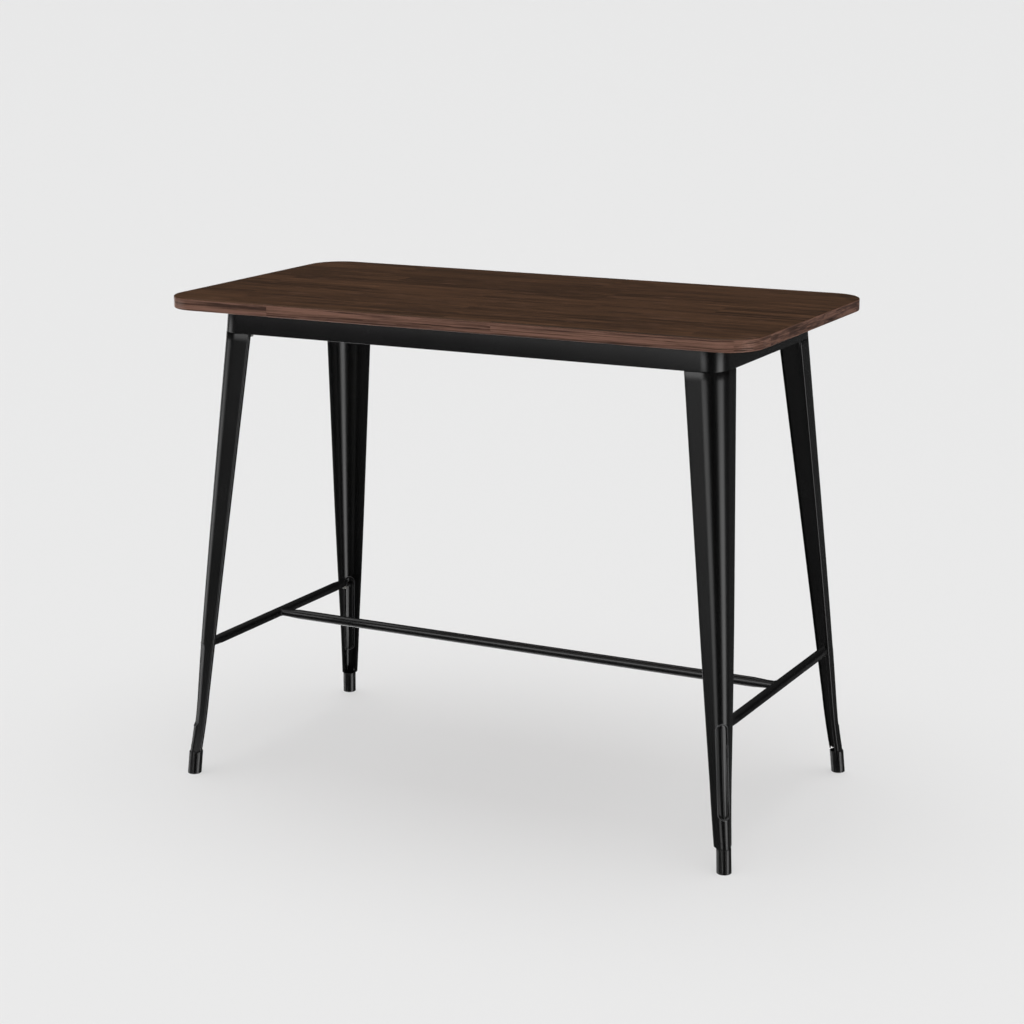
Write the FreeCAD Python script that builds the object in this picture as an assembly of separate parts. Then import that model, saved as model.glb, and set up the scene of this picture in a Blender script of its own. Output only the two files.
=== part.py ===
import FreeCAD, Part
import math
import os

# High table: a wooden top on a sheet-metal frame with four splayed V-section legs
# Origin on the floor under the middle of the top, X along the top, Z up, millimetres

# Tabletop
top_length = 1200.0
top_width = 600.0
top_thickness = 23.0
table_height = 950.0
top_corner_radius = 68.0
top_edge_ease = 2.5

# Sheet metal and fits
sheet = 2.0
weld_gap = 0.2
seam_gap = 0.6
overrun = 6.0
flatness = 0.0001
corner_steps = 6

# Apron frame, measured at its lower edge
apron_height = 50.0
overhang_end = 80.5
overhang_side = 74.0
apron_corner_radius = 39.5
apron_hem = 12.0
apron_flange = 25.0

# Legs: splay of the corner line from the apron down to the knee, then a small flare
knee_height = 160.0
waist_height = 480.0
shoulder_height = 45.0
splay_end = 48.3
splay_side = 63.1
flare = 3.0
wing_top = 70.4
wing_knee = 34.1
wing_shoulder = 30.3
nose_knee = 17.1
nose_shoulder = 11.7
closing_at_knee = 2.74
lip_length = 7.0
lip_bend = 3.0
shoulder_round = 7.0
middle_station_shares = (0.0, 0.5)
lower_station_shares = (0.0, 0.5, 1.0)
lip_steps = 2

# Pressed recess on the nose of each leg
recess_low = 95.0
recess_high = 268.0
recess_radius = 11.5
recess_depth = 2.4
recess_reach = 14.0
recess_steps = 5

# Foot caps and the tongue of the leg that stands in them
cap_radius = 13.5
cap_wall = 2.0
cap_floor = 6.0
cap_edge_ease = 1.5
cap_fit = 0.3
cap_sides = 20
tongue_overlap = 12.0
tongue_steps = 3

# Stretchers
stretcher_height = 259.0
tube_radius = 9.5
tube_wall = 1.5
pinch_height = 13.0
pinch_width = 16.0
pinch_length = 46.0
pinch_flat = 20.0
tip_steps = 3
stretcher_tip_setback = 21.0

# Seats under the tube ends, and their bolts
seat_thickness = 2.0
seat_tab_height = 15.0
seat_margin = 1.5
m6_radius = 3.0
m6_head_flats = 10.0
m6_head_height = 4.0
m6_nut_height = 5.0

# Plates and bolts between leg and apron
plate_thickness = 3.0
plate_step = 34.0
gusset_side = 92.0
gusset_step = 36.0
bolt_inset = 27.0
bolt_pitch = 26.0
m8_radius = 4.0
m8_head_flats = 13.0
m8_head_height = 5.3
m8_nut_height = 6.5
bolt_end = 2.0
hole_clearance = 0.5
thread_clearance = 0.1
fastener_sides = 8

# Cross bars under the top
bar_width = 40.0
bar_depth = 20.0
bar_offset = 175.0

# Screws up into the top
screw_radius = 2.2
screw_length = 18.0
screw_head_radius = 4.6
screw_crown_radius = 2.8
screw_head_height = 3.0
screw_rim = 1.2
pilot_clearance = 0.15
side_screw_pitch = 340.0
end_screw_offset = 120.0
bar_screw_offset = 100.0

# Levels and outlines worked out from the sizes above
top_underside = table_height - top_thickness
apron_bottom = top_underside - apron_height
leg_top = apron_bottom - seam_gap
corner_x = top_length / 2 - overhang_end
corner_y = top_width / 2 - overhang_side
slope_x = splay_end / (apron_bottom - knee_height)
slope_y = splay_side / (apron_bottom - knee_height)
draft_x = slope_x * apron_height
draft_y = slope_y * apron_height

origin = FreeCAD.Vector(0, 0, 0)
up = FreeCAD.Vector(0, 0, 1)
outward = FreeCAD.Vector(1, 1, 0).normalize()
corners = {"front_left": (-1, -1), "front_right": (1, -1), "back_right": (1, 1), "back_left": (-1, 1)}


def point(x, y, z):
    return FreeCAD.Vector(x, y, z)


def at_corner(shape, side_x, side_y):
    """Mirror a shape built in the +X +Y corner into another corner."""
    if side_x < 0:
        shape = shape.mirror(origin, FreeCAD.Vector(1, 0, 0))
    if side_y < 0:
        shape = shape.mirror(origin, FreeCAD.Vector(0, 1, 0))
    return shape


def ring(centre, radius, sides):
    """Level ring of evenly spaced points."""
    turns = [2 * math.pi * number / sides for number in range(sides)]
    return [centre + point(math.cos(turn), math.sin(turn), 0) * radius for turn in turns]


def bend(centre, first, last, steps):
    """Points on the shorter level arc between two points round a centre."""
    spoke = first - centre
    sweep = spoke.getAngle(last - centre)
    if spoke.cross(last - centre).z < 0:
        sweep = -sweep
    turns = [sweep * number / steps for number in range(steps + 1)]
    return [centre + spoke * math.cos(turn) + up.cross(spoke) * math.sin(turn) for turn in turns]


def flat_face(points):
    return Part.Face(Part.makePolygon(points + points[:1]))


def flat_loft(outlines):
    """Solid through level outlines of as many points each, made of flat faces."""
    faces = [flat_face(outlines[0]), flat_face(outlines[-1])]
    for lower, upper in zip(outlines, outlines[1:]):
        for number in range(len(lower)):
            a, b, c, d = lower[number - 1], lower[number], upper[number], upper[number - 1]
            if abs((b - a).cross(d - a).normalize().dot(c - a)) < flatness:
                faces.append(flat_face([a, b, c, d]))
            else:
                faces += [flat_face([a, b, c]), flat_face([a, c, d])]
    solid = Part.makeSolid(Part.makeShell(faces))
    return solid if solid.Volume > 0 else solid.reversed()


def rounded_rectangle(half_x, half_y, radius, z):
    """Level outline of a rectangle with round corners, centred on the Z axis."""
    outline = []
    for side_x, side_y in corners.values():
        centre = point(side_x * (half_x - radius), side_y * (half_y - radius), z)
        beside = centre + point(side_x * radius, 0, 0)
        beyond = centre + point(0, side_y * radius, 0)
        first, last = (beside, beyond) if side_x * side_y > 0 else (beyond, beside)
        outline += bend(centre, first, last, corner_steps)
    return outline


def block(low, high):
    """Box between two opposite points."""
    return Part.makeBox(high.x - low.x, high.y - low.y, high.z - low.z, low)


def apron_outline(inset, z):
    """Outline of the apron frame at a height, moved inward by an inset."""
    rise = (z - apron_bottom) / apron_height
    half_x = corner_x - draft_x * rise - inset
    half_y = corner_y - draft_y * rise - inset
    return rounded_rectangle(half_x, half_y, apron_corner_radius - inset, z)


def apron_space(inset, low, high):
    """Solid inside the apron's wall between two heights."""
    return flat_loft([apron_outline(inset, low), apron_outline(inset, high)])


def leg_measures(z):
    """Corner, wing length, nose radius and closing angle of the leg at a height."""
    drop = apron_bottom - z
    closing = 0.0
    if z < waist_height:
        below_waist = (waist_height - z) / (waist_height - knee_height)
        closing = math.atan(closing_at_knee / wing_knee) * below_waist ** 2
    if z >= knee_height:
        share = drop / (apron_bottom - knee_height)
        wing = wing_top + (wing_knee - wing_top) * share
        nose = apron_corner_radius + (nose_knee - apron_corner_radius) * share
        spread = 0.0
    else:
        share = (knee_height - z) / (knee_height - shoulder_height)
        wing = wing_knee + (wing_shoulder - wing_knee) * share
        nose = nose_knee + (nose_shoulder - nose_knee) * share
        spread = flare * share ** 2
    corner = point(corner_x + slope_x * drop + spread, corner_y + slope_y * drop + spread, z)
    return corner, wing, nose, closing


def wing_directions(closing):
    """Directions along each wing from the corner, and inward across each wing."""
    along_back = point(-math.cos(closing), -math.sin(closing), 0)
    along_end = point(-math.sin(closing), -math.cos(closing), 0)
    across_back = point(math.sin(closing), -math.cos(closing), 0)
    across_end = point(-math.cos(closing), math.sin(closing), 0)
    return along_back, across_back, along_end, across_end


def nose_centre(z):
    corner, wing, nose, closing = leg_measures(z)
    return corner - outward * (nose / math.sin(math.pi / 4 - closing))


def nose_line(z):
    """Outermost point of the rounded nose."""
    return nose_centre(z) + outward * leg_measures(z)[2]


def lipped_end(free_edge, along, across):
    """Points of a turned-in lip, from the wing's outer face round to its inner face."""
    bend_centre = free_edge - along * lip_bend + across * lip_bend
    outer = bend(bend_centre, free_edge - along * lip_bend, free_edge + across * lip_bend, lip_steps)
    tip = free_edge + across * lip_length
    reach = lip_bend - sheet
    inner = bend(bend_centre, bend_centre + along * reach, bend_centre - across * reach, lip_steps)
    return outer + [tip, tip - along * sheet] + inner


def nose_ends(z):
    """Ends of the rounded nose on the back wing and on the end wing."""
    corner, wing, nose, closing = leg_measures(z)
    along_back, across_back, along_end, across_end = wing_directions(closing)
    tangent = nose * math.tan(math.pi / 4 + closing)
    return corner + along_back * tangent, corner + along_end * tangent


def sheet_section(z):
    """Outline of the bent sheet: two lipped wings and the rounded nose."""
    corner, wing, nose, closing = leg_measures(z)
    along_back, across_back, along_end, across_end = wing_directions(closing)
    centre = nose_centre(z)
    back, end = nose_ends(z)
    lip_back = lipped_end(corner + along_back * wing, along_back, across_back)
    lip_end = lipped_end(corner + along_end * wing, along_end, across_end)
    inner_nose = bend(centre, back + across_back * sheet, end + across_end * sheet, corner_steps)
    return bend(centre, end, back, corner_steps) + lip_back + inner_nose + lip_end[::-1]


def core_section(z, inset):
    """Outline of the space inside the leg's outer faces, moved inward."""
    corner, wing, nose, closing = leg_measures(z)
    along_back, across_back, along_end, across_end = wing_directions(closing)
    back, end = nose_ends(z)
    nose_points = bend(nose_centre(z), back + across_back * inset, end + across_end * inset, corner_steps)
    far_back = corner + along_back * wing + across_back * inset
    far_end = corner + along_end * wing + across_end * inset
    return [far_back] + nose_points + [far_end]


def leg_stations(top):
    """Heights of the leg's sections, close together where its faces curve."""
    heights = [top]
    heights += [waist_height + (knee_height - waist_height) * share for share in middle_station_shares]
    heights += [knee_height + (shoulder_height - knee_height) * share for share in lower_station_shares]
    return heights


def leg_core(inset):
    """Solid inside the leg's outer faces, up to the apron."""
    return flat_loft([core_section(z, inset) for z in leg_stations(apron_bottom)])


def recess_prism(radius, outside, inside):
    """Round-ended prism square to the nose, over the recess."""
    low = nose_line(recess_low + recess_radius)
    high = nose_line(recess_high - recess_radius)
    rise = (high - low).normalize()
    facing = (outward - rise * outward.dot(rise)).normalize()
    sideways = rise.cross(facing)
    low = low + facing * outside
    high = high + facing * outside
    turns = [math.pi * number / recess_steps for number in range(recess_steps + 1)]
    upper = [high + sideways * (math.cos(turn) * radius) + rise * (math.sin(turn) * radius) for turn in turns]
    lower = [low - sideways * (math.cos(turn) * radius) - rise * (math.sin(turn) * radius) for turn in turns]
    return flat_face(upper + lower).extrude(facing * (-outside - inside))


def foot_centre(z):
    """Point of the foot's axis, which runs on from the nose at the leg's splay."""
    drop = shoulder_height - z
    return nose_centre(shoulder_height) + point(slope_x * drop, slope_y * drop, -drop)


def make_tongue():
    """Half-round lower end of the leg, inside the foot cap."""
    radius = cap_radius - cap_wall - cap_fit
    sideways = up.cross(outward)
    outlines = []
    for z in (cap_floor + cap_fit, shoulder_height + tongue_overlap):
        centre = foot_centre(z)
        halves = []
        for size in (radius, radius - sheet):
            left = bend(centre, centre - sideways * size, centre + outward * size, tongue_steps)
            right = bend(centre, centre + outward * size, centre + sideways * size, tongue_steps)
            halves.append(left + right[1:])
        outlines.append(halves[0] + halves[1][::-1])
    return flat_loft(outlines)


def shoulder_cutters():
    """Pieces that round the free corners of the sheet at the shoulders."""
    corner, wing, nose, closing = leg_measures(shoulder_height)
    sideways = up.cross(outward)
    half_width = wing * (math.cos(closing) - math.sin(closing)) / math.sqrt(2)
    depth = 2 * wing
    base = corner - outward * depth
    cutters = []
    for side in (-1, 1):
        inner = half_width - shoulder_round
        outer = half_width + overrun
        low = point(0, 0, -overrun)
        corner_points = [base + sideways * (side * inner) + low]
        corner_points += [base + sideways * (side * outer) + low]
        corner_points += [base + sideways * (side * outer) + up * shoulder_round]
        corner_points += [base + sideways * (side * inner) + up * shoulder_round]
        outline = Part.makePolygon(corner_points + corner_points[:1])
        piece = Part.Face(outline).extrude(outward * (depth + overrun))
        pivot = base + sideways * (side * inner) + up * shoulder_round - outward * overrun
        round_rod = Part.makeCylinder(shoulder_round, depth + 3 * overrun, pivot, outward)
        cutters.append(piece.cut(round_rod))
    return cutters


def end_wall_inside(z, distance):
    """Inner face of the end wing at a distance along it from the corner."""
    corner, wing, nose, closing = leg_measures(z)
    along_end = wing_directions(closing)[2]
    across_end = wing_directions(closing)[3]
    return corner + along_end * distance + across_end * sheet


leg_corner, leg_wing = leg_measures(stretcher_height)[:2]
stretcher_x = end_wall_inside(stretcher_height, leg_wing).x - weld_gap - pinch_width / 2
stretcher_tip = leg_corner.y - stretcher_tip_setback
bolt_y = stretcher_tip - pinch_width / 2
seat_top = stretcher_height - pinch_height / 2


def make_leg():
    """Bent sheet with recess, shoulders, tongue and a notch for the stretcher."""
    leg = flat_loft([sheet_section(z) for z in leg_stations(leg_top)])
    for cutter in shoulder_cutters():
        leg = leg.cut(cutter)
    dish = recess_prism(recess_radius + sheet, recess_reach, recess_reach)
    leg = leg.fuse(dish.common(leg_core(sheet / 2)).cut(leg_core(recess_depth + sheet)))
    leg = leg.cut(recess_prism(recess_radius, recess_reach, recess_reach).cut(leg_core(recess_depth)))
    leg = leg.fuse(make_tongue())
    half_width = pinch_width / 2 + weld_gap
    half_height = pinch_height / 2 + weld_gap
    notch_low = point(stretcher_x - half_width, stretcher_tip - 2 * wing_knee, stretcher_height - half_height)
    notch_high = point(stretcher_x + half_width, stretcher_tip - pinch_width / 2, stretcher_height + half_height)
    return leg.cut(block(notch_low, notch_high)).removeSplitter()


def make_foot_cap():
    """Ribbed rubber cup with a level base, open at the top round the tongue."""
    high = shoulder_height - cap_fit
    levels = ((0, cap_edge_ease), (cap_edge_ease, 0), (high, 0))
    cap = flat_loft([ring(foot_centre(z), cap_radius - eased, cap_sides) for z, eased in levels])
    levels = (cap_floor, high + overrun)
    return cap.cut(flat_loft([ring(foot_centre(z), cap_radius - cap_wall, cap_sides) for z in levels]))


def stepped_corner(side, step, low, high):
    """Plate in the apron's corner: a square with its inner corner cut off."""
    outline = [(0, 0), (-side, 0), (-side, -step), (-step, -side), (0, -side), (0, 0)]
    wire = Part.makePolygon([point(corner_x + x, corner_y + y, low) for x, y in outline])
    return Part.Face(wire).extrude(up * (high - low))


def bolt_places():
    """The three bolts between a leg and the apron frame."""
    near = point(corner_x - bolt_inset, corner_y - bolt_inset, 0)
    return [near, near - point(bolt_pitch, 0, 0), near - point(0, bolt_pitch, 0)]


def rod(place, radius, low, high, sides):
    """Upright rod of many equal sides between two heights."""
    return flat_face(ring(point(place.x, place.y, low), radius, sides)).extrude(up * (high - low))


def drilled(shape, places, radius, low, high):
    for place in places:
        shape = shape.cut(rod(place, radius, low, high, fastener_sides))
    return shape


def make_leg_top_plate():
    """Plate welded across the top of the leg, under the apron's hem."""
    side = wing_top - lip_bend - weld_gap
    low = apron_bottom - plate_thickness
    plate = stepped_corner(side, plate_step, low, apron_bottom).common(leg_core(sheet + weld_gap))
    return drilled(plate, bolt_places(), m8_radius + hole_clearance, low - overrun, apron_bottom + overrun)


def make_corner_gusset():
    """Plate lying on the apron's hem, which the leg's bolts pull down."""
    low = apron_bottom + sheet
    high = low + plate_thickness
    plate = stepped_corner(gusset_side, gusset_step, low, high)
    plate = plate.common(apron_space(sheet + weld_gap, low, high))
    return drilled(plate, bolt_places(), m8_radius + hole_clearance, low - overrun, high + overrun)


def hexagon(place, flats, low, high):
    """Six-sided prism with a width across its flats."""
    return rod(place, flats / math.sqrt(3), low, high, 6)


def upward_bolt(place, seat, radius, flats, head_height, end):
    """Bolt pointing up, its head's upper face at the seat."""
    head = hexagon(place, flats, seat - head_height, seat)
    return head.fuse(rod(place, radius, seat - head_height, end, fastener_sides)).removeSplitter()


def nut(place, low, flats, height, bolt_radius):
    body = hexagon(place, flats, low, low + height)
    return drilled(body, [place], bolt_radius + thread_clearance, low - overrun, low + height + overrun)


def leg_fasteners():
    """Bolts and nuts between one leg and the apron frame."""
    seat = apron_bottom - plate_thickness
    nut_low = apron_bottom + sheet + plate_thickness
    end = nut_low + m8_nut_height + bolt_end
    places = bolt_places()
    bolts = [upward_bolt(place, seat, m8_radius, m8_head_flats, m8_head_height, end) for place in places]
    nuts = [nut(place, nut_low, m8_head_flats, m8_nut_height, m8_radius) for place in places]
    return bolts, nuts


def seat_bolt_place():
    return point(stretcher_x, bolt_y, 0)


def beside_lip(z):
    """Y place just inside the lip of the end wing at a height."""
    return end_wall_inside(z, leg_measures(z)[1] - lip_bend - seat_margin).y


def make_stretcher_seat():
    """Angle welded inside the leg: a shelf under the tube end and a tab down the wall."""
    bottom = seat_top - seat_thickness
    tab_bottom = seat_top - seat_tab_height
    inner_x = stretcher_x - tube_radius
    outer = point(corner_x + splay_end, corner_y + splay_side, seat_top)
    shelf = block(point(inner_x, beside_lip(seat_top), bottom), outer)
    tab = block(point(stretcher_x, beside_lip(tab_bottom), tab_bottom), point(outer.x, bolt_y, seat_top))
    wall_side = leg_core(sheet + weld_gap)
    tab = tab.common(wall_side).cut(leg_core(sheet + weld_gap + seat_thickness))
    seat = shelf.common(wall_side).fuse(tab)
    dish = recess_prism(recess_radius + sheet + seat_margin, recess_reach, recess_reach)
    seat = seat.cut(dish.cut(leg_core(recess_depth + sheet + weld_gap)))
    hole_low = bottom - overrun
    return drilled(seat, [seat_bolt_place()], m6_radius + hole_clearance, hole_low, seat_top + overrun)


def stretcher_fasteners():
    """Bolt and nut of one tube end, the nut inside the tube."""
    place = seat_bolt_place()
    nut_low = seat_top + tube_wall
    end = nut_low + m6_nut_height
    bolt = upward_bolt(place, seat_top - seat_thickness, m6_radius, m6_head_flats, m6_head_height, end)
    return bolt, nut(place, nut_low, m6_head_flats, m6_nut_height, m6_radius)


def pinch_slab(half_height, pinched_half_height, half_length):
    """Slab along Y, full height in the middle and lower towards both ends."""
    taper = half_length - pinch_length
    flat = half_length - pinch_flat
    beyond = half_length + overrun
    upper = [(-beyond, pinched_half_height), (-flat, pinched_half_height), (-taper, half_height)]
    upper += [(taper, half_height), (flat, pinched_half_height), (beyond, pinched_half_height)]
    outline = upper + [(-y, -z) for y, z in upper]
    slab = flat_face([point(-2 * tube_radius, y, stretcher_height + z) for y, z in outline])
    return slab.extrude(point(4 * tube_radius, 0, 0))


def round_ended_slab(half_width, pinched_half_width, half_length):
    """Slab along Y with narrower, round ends in plan, taller than the tube."""
    low = stretcher_height - 2 * tube_radius
    centre = point(0, half_length - pinched_half_width, low)
    right = centre + point(pinched_half_width, 0, 0)
    left = centre - point(pinched_half_width, 0, 0)
    tip = centre + point(0, pinched_half_width, 0)
    outline = [point(half_width, half_length - pinch_length, low), point(right.x, half_length - pinch_flat, low)]
    outline += bend(centre, right, tip, tip_steps) + bend(centre, tip, left, tip_steps)[1:]
    outline += [point(left.x, half_length - pinch_flat, low), point(-half_width, half_length - pinch_length, low)]
    outline += [point(-place.x, -place.y, low) for place in outline]
    return flat_face(outline).extrude(up * (4 * tube_radius))


def pinched_rod(inset, half_length):
    """Round rod along Y whose two ends are squeezed flatter, moved inward by an inset."""
    radius = tube_radius - inset
    length = half_length + overrun
    bar = Part.makeCylinder(radius, 2 * length, point(0, -length, stretcher_height), point(0, 1, 0))
    return bar.common(pinch_slab(radius, pinch_height / 2 - inset, half_length))


def make_end_stretcher():
    """Tube along Y with closed, rounded, pinched ends, drilled below for the bolts."""
    inner_tip = stretcher_tip - tube_wall
    outside = pinched_rod(0, stretcher_tip)
    outside = outside.common(round_ended_slab(tube_radius, pinch_width / 2, stretcher_tip))
    inside = pinched_rod(tube_wall, stretcher_tip)
    inside = inside.common(round_ended_slab(tube_radius - tube_wall, pinch_width / 2 - tube_wall, inner_tip))
    tube = outside.cut(inside)
    places = [point(0, bolt_y, 0), point(0, -bolt_y, 0)]
    tube = drilled(tube, places, m6_radius + hole_clearance, seat_top - overrun, stretcher_height)
    return tube.translated(point(stretcher_x, 0, 0))


def make_centre_stretcher():
    """Tube along X, pinched and hollowed out at its ends to fit the end stretchers."""
    tube = pinched_rod(0, stretcher_x).cut(pinched_rod(tube_wall, stretcher_x))
    tube.rotate(origin, up, -90)
    for side in (-1, 1):
        base = point(side * stretcher_x, -stretcher_x, stretcher_height)
        tube = tube.cut(Part.makeCylinder(tube_radius + weld_gap, 2 * stretcher_x, base, point(0, 1, 0)))
        beyond = block(point(0, -2 * tube_radius, 0), point(stretcher_x, 2 * tube_radius, table_height))
        beyond.translate(point(stretcher_x if side > 0 else -2 * stretcher_x, 0, 0))
        tube = tube.cut(beyond)
    return tube


def screw_places():
    """Places of the screws in the apron's flange and in the cross bars."""
    side_y = corner_y - draft_y - apron_flange / 2
    end_x = corner_x - draft_x - apron_flange / 2
    places = []
    for side in (-1, 1):
        places += [point(number * side_screw_pitch, side * side_y, 0) for number in (-1, 0, 1)]
        places += [point(side * end_x, end * end_screw_offset, 0) for end in (-1, 1)]
        places += [point(side * bar_offset, end * bar_screw_offset, 0) for end in (-1, 1)]
    return places


def make_screw(place):
    """Pan-head screw pointing up, its head against the flange's underside."""
    seat = top_underside - sheet
    rim = seat - screw_rim
    levels = [(seat - screw_head_height, screw_crown_radius), (rim, screw_head_radius), (seat, screw_head_radius)]
    head = flat_loft([ring(point(place.x, place.y, z), radius, fastener_sides) for z, radius in levels])
    return head.fuse(rod(place, screw_radius, rim, seat + screw_length, fastener_sides))


def make_tabletop():
    """Board with round corners and eased edges, with pilot holes below."""
    far = point(top_length / 2, top_width / 2, table_height)
    board = block(point(-far.x, -far.y, top_underside), far)
    uprights = [edge for edge in board.Edges if edge.BoundBox.ZLength > top_edge_ease]
    board = board.makeFillet(top_corner_radius, uprights)
    arrises = [edge for edge in board.Edges if edge.BoundBox.ZLength < top_edge_ease]
    board = board.makeChamfer(top_edge_ease, arrises)
    pilot_top = top_underside + screw_length - sheet + pilot_clearance
    return drilled(board, screw_places(), screw_radius + pilot_clearance, top_underside - overrun, pilot_top)


def make_apron_frame():
    """Ring of bent sheet with a flange under the top and a hem below."""
    frame = apron_space(0, apron_bottom, top_underside)
    frame = frame.cut(apron_space(sheet, apron_bottom + sheet, top_underside - sheet))
    frame = frame.cut(apron_space(apron_hem, apron_bottom - overrun, apron_bottom + 2 * sheet))
    frame = frame.cut(apron_space(apron_flange, top_underside - 2 * sheet, top_underside + overrun))
    low = top_underside - sheet - overrun
    return drilled(frame, screw_places(), screw_radius + hole_clearance, low, top_underside + overrun)


def make_cross_bar(side):
    """Channel across the frame: web beside the flange, both legs under it."""
    half = bar_width / 2
    low = top_underside - bar_depth
    bar = block(point(-half, -corner_y, low), point(half, corner_y, top_underside))
    hollow_low = point(sheet - half, -corner_y, low)
    bar = bar.cut(block(hollow_low, point(half - sheet, corner_y, top_underside - sheet)))
    bar.translate(point(side * bar_offset, 0, 0))
    wall_side = apron_space(sheet + weld_gap, low, top_underside - sheet)
    flange_side = apron_space(apron_flange + weld_gap, top_underside - sheet, top_underside)
    bar = bar.common(wall_side.fuse(flange_side)).removeSplitter()
    return drilled(bar, screw_places(), screw_radius + hole_clearance, low, top_underside + overrun)


def save(name, shape):
    shape.exportStep("parts/" + name + ".step")


def main():
    os.makedirs("parts", exist_ok=True)
    save("tabletop", make_tabletop())
    save("apron_frame", make_apron_frame())
    save("cross_bar_left", make_cross_bar(-1))
    save("cross_bar_right", make_cross_bar(1))
    end_stretcher = make_end_stretcher()
    save("end_stretcher_right", end_stretcher)
    save("end_stretcher_left", at_corner(end_stretcher, -1, 1))
    save("centre_stretcher", make_centre_stretcher())
    save("top_screws", Part.makeCompound([make_screw(place) for place in screw_places()]))

    by_corner = {
        "leg": make_leg(),
        "foot_cap": make_foot_cap(),
        "leg_top_plate": make_leg_top_plate(),
        "corner_gusset": make_corner_gusset(),
        "stretcher_seat": make_stretcher_seat(),
    }
    bolts, nuts = leg_fasteners()
    tube_bolt, tube_nut = stretcher_fasteners()
    shared = {
        "leg_bolts": bolts,
        "leg_nuts": nuts,
        "stretcher_bolts": [tube_bolt],
        "stretcher_nuts": [tube_nut],
    }
    for corner, (side_x, side_y) in corners.items():
        for name, shape in by_corner.items():
            save(name + "_" + corner, at_corner(shape, side_x, side_y))
    for name, pieces in shared.items():
        everywhere = [at_corner(piece, *sides) for sides in corners.values() for piece in pieces]
        save(name, Part.makeCompound(everywhere))


main()
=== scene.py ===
import math

import bmesh
import bpy
from mathutils import Matrix, Vector


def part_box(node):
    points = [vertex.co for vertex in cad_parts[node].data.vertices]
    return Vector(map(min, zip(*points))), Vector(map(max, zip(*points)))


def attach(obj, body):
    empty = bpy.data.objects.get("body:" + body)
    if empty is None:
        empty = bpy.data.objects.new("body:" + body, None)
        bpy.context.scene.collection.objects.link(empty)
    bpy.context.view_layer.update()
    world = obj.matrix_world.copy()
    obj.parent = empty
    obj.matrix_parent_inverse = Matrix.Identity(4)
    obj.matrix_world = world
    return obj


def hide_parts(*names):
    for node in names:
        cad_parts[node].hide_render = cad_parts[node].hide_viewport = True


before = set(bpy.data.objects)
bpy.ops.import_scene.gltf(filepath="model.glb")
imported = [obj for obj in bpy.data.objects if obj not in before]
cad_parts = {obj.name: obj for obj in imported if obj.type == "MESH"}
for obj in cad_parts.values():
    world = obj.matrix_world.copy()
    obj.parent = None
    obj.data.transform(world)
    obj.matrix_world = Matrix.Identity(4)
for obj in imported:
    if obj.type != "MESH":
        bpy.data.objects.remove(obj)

bl_info = {
    "name": "High table",
    "version": (1, 0, 0),
    "blender": (4, 5, 0),
    "location": "3D View > Sidebar > Table",
    "description": "Finishes for a high table: stained wooden top on a pressed sheet-metal frame",
    "category": "Object",
}

# The corners of the table: each leg is shaped in the back right one and mirrored into the others
CORNERS = {"front_left": (-1, -1), "front_right": (1, -1), "back_right": (1, 1), "back_left": (-1, 1)}
ENDS = {"right": 1, "left": -1}
UP = Vector((0, 0, 1))
OUTWARD = Vector((1, 1, 0)).normalized()
SIDEWAYS = UP.cross(OUTWARD)

# Lengths under CLOSE count as none, and directions whose cosine is over ALONG as parallel
CLOSE = 1e-5
ALONG = 0.9

# Places taken from the frame, in metres
TOP_LOW, TOP_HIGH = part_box("tabletop")
APRON_LOW, APRON_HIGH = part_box("apron_frame")
TUBE_LOW, TUBE_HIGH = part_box("end_stretcher_right")
CAP_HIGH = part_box("foot_cap_back_right")[1].z
CORNER = Vector((APRON_HIGH.x, APRON_HIGH.y, APRON_LOW.z))
TUBE_PLACE = (TUBE_LOW + TUBE_HIGH) / 2
TUBE_RADIUS = (TUBE_HIGH.x - TUBE_LOW.x) / 2

# Leg: a V of sheet that narrows from the apron to the knee and flares a little below it
SHEET = 0.002
LEG_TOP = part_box("leg_back_right")[1].z
WAIST = 0.480
KNEE = 0.160
SHOULDER = 0.045
SPLAY = Vector((0.0483, 0.0631, 0)) / (CORNER.z - KNEE)
FLARE = 0.003
WING_TOP, WING_KNEE, WING_SHOULDER = 0.0704, 0.0341, 0.0303
NOSE_TOP, NOSE_KNEE, NOSE_SHOULDER = 0.0395, 0.0171, 0.0117
CLOSING_AT_KNEE = math.radians(4.6)
LIP_LENGTH = 0.007
LIP_BEND = 0.003
SHOULDER_ROUND = 0.007
SHOULDER_REACH = 0.020
RECESS_LOW, RECESS_HIGH = 0.095, 0.268
RECESS_RADIUS = 0.0115
RIM_BEAD = 0.0007
RIM_RUN = 0.0014
RIDGE_HALF, RIDGE_FADE = 0.0017, 0.004
TONGUE_TOP = SHOULDER + 0.012
TONGUE_LOW = 0.0063
TONGUE_RADIUS = 0.0112

# Stretchers: round tubes, pinched flatter and narrower at their ends
PINCH_WIDTH, PINCH_HEIGHT = 0.016, 0.013
PINCH_FLAT, PINCH_LENGTH = 0.020, 0.046

# Columns of the leg's blank: each side of the nose, in millimetres from its middle, and on each wing
NOSE_COLUMNS = (0, 0.45, 0.85, 1.25, 1.7, 2.6, 3.7, 4.8, 5.9, 7, 7.9, 8.4, 8.7, 9, 9.3, 9.6, 9.85, 10.05, 10.25,
                10.45, 10.65, 10.85, 11.05, 11.25, 11.5, 11.9, 12.5, 13.4)
EVEN_FROM, EVEN_RUN = RECESS_HIGH + 0.010, 0.070
LIP_STEPS, BEND_STEPS, WING_STEPS = 2, 5, 14
# Rows of the blank: lowest height, highest height and number of faces
ROW_SPANS = ((SHOULDER, 0.065, 10), (0.065, 0.093, 10), (0.093, 0.109, 56), (0.109, 0.254, 48),
             (0.254, 0.270, 56), (0.270, LEG_TOP, 40))

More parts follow.
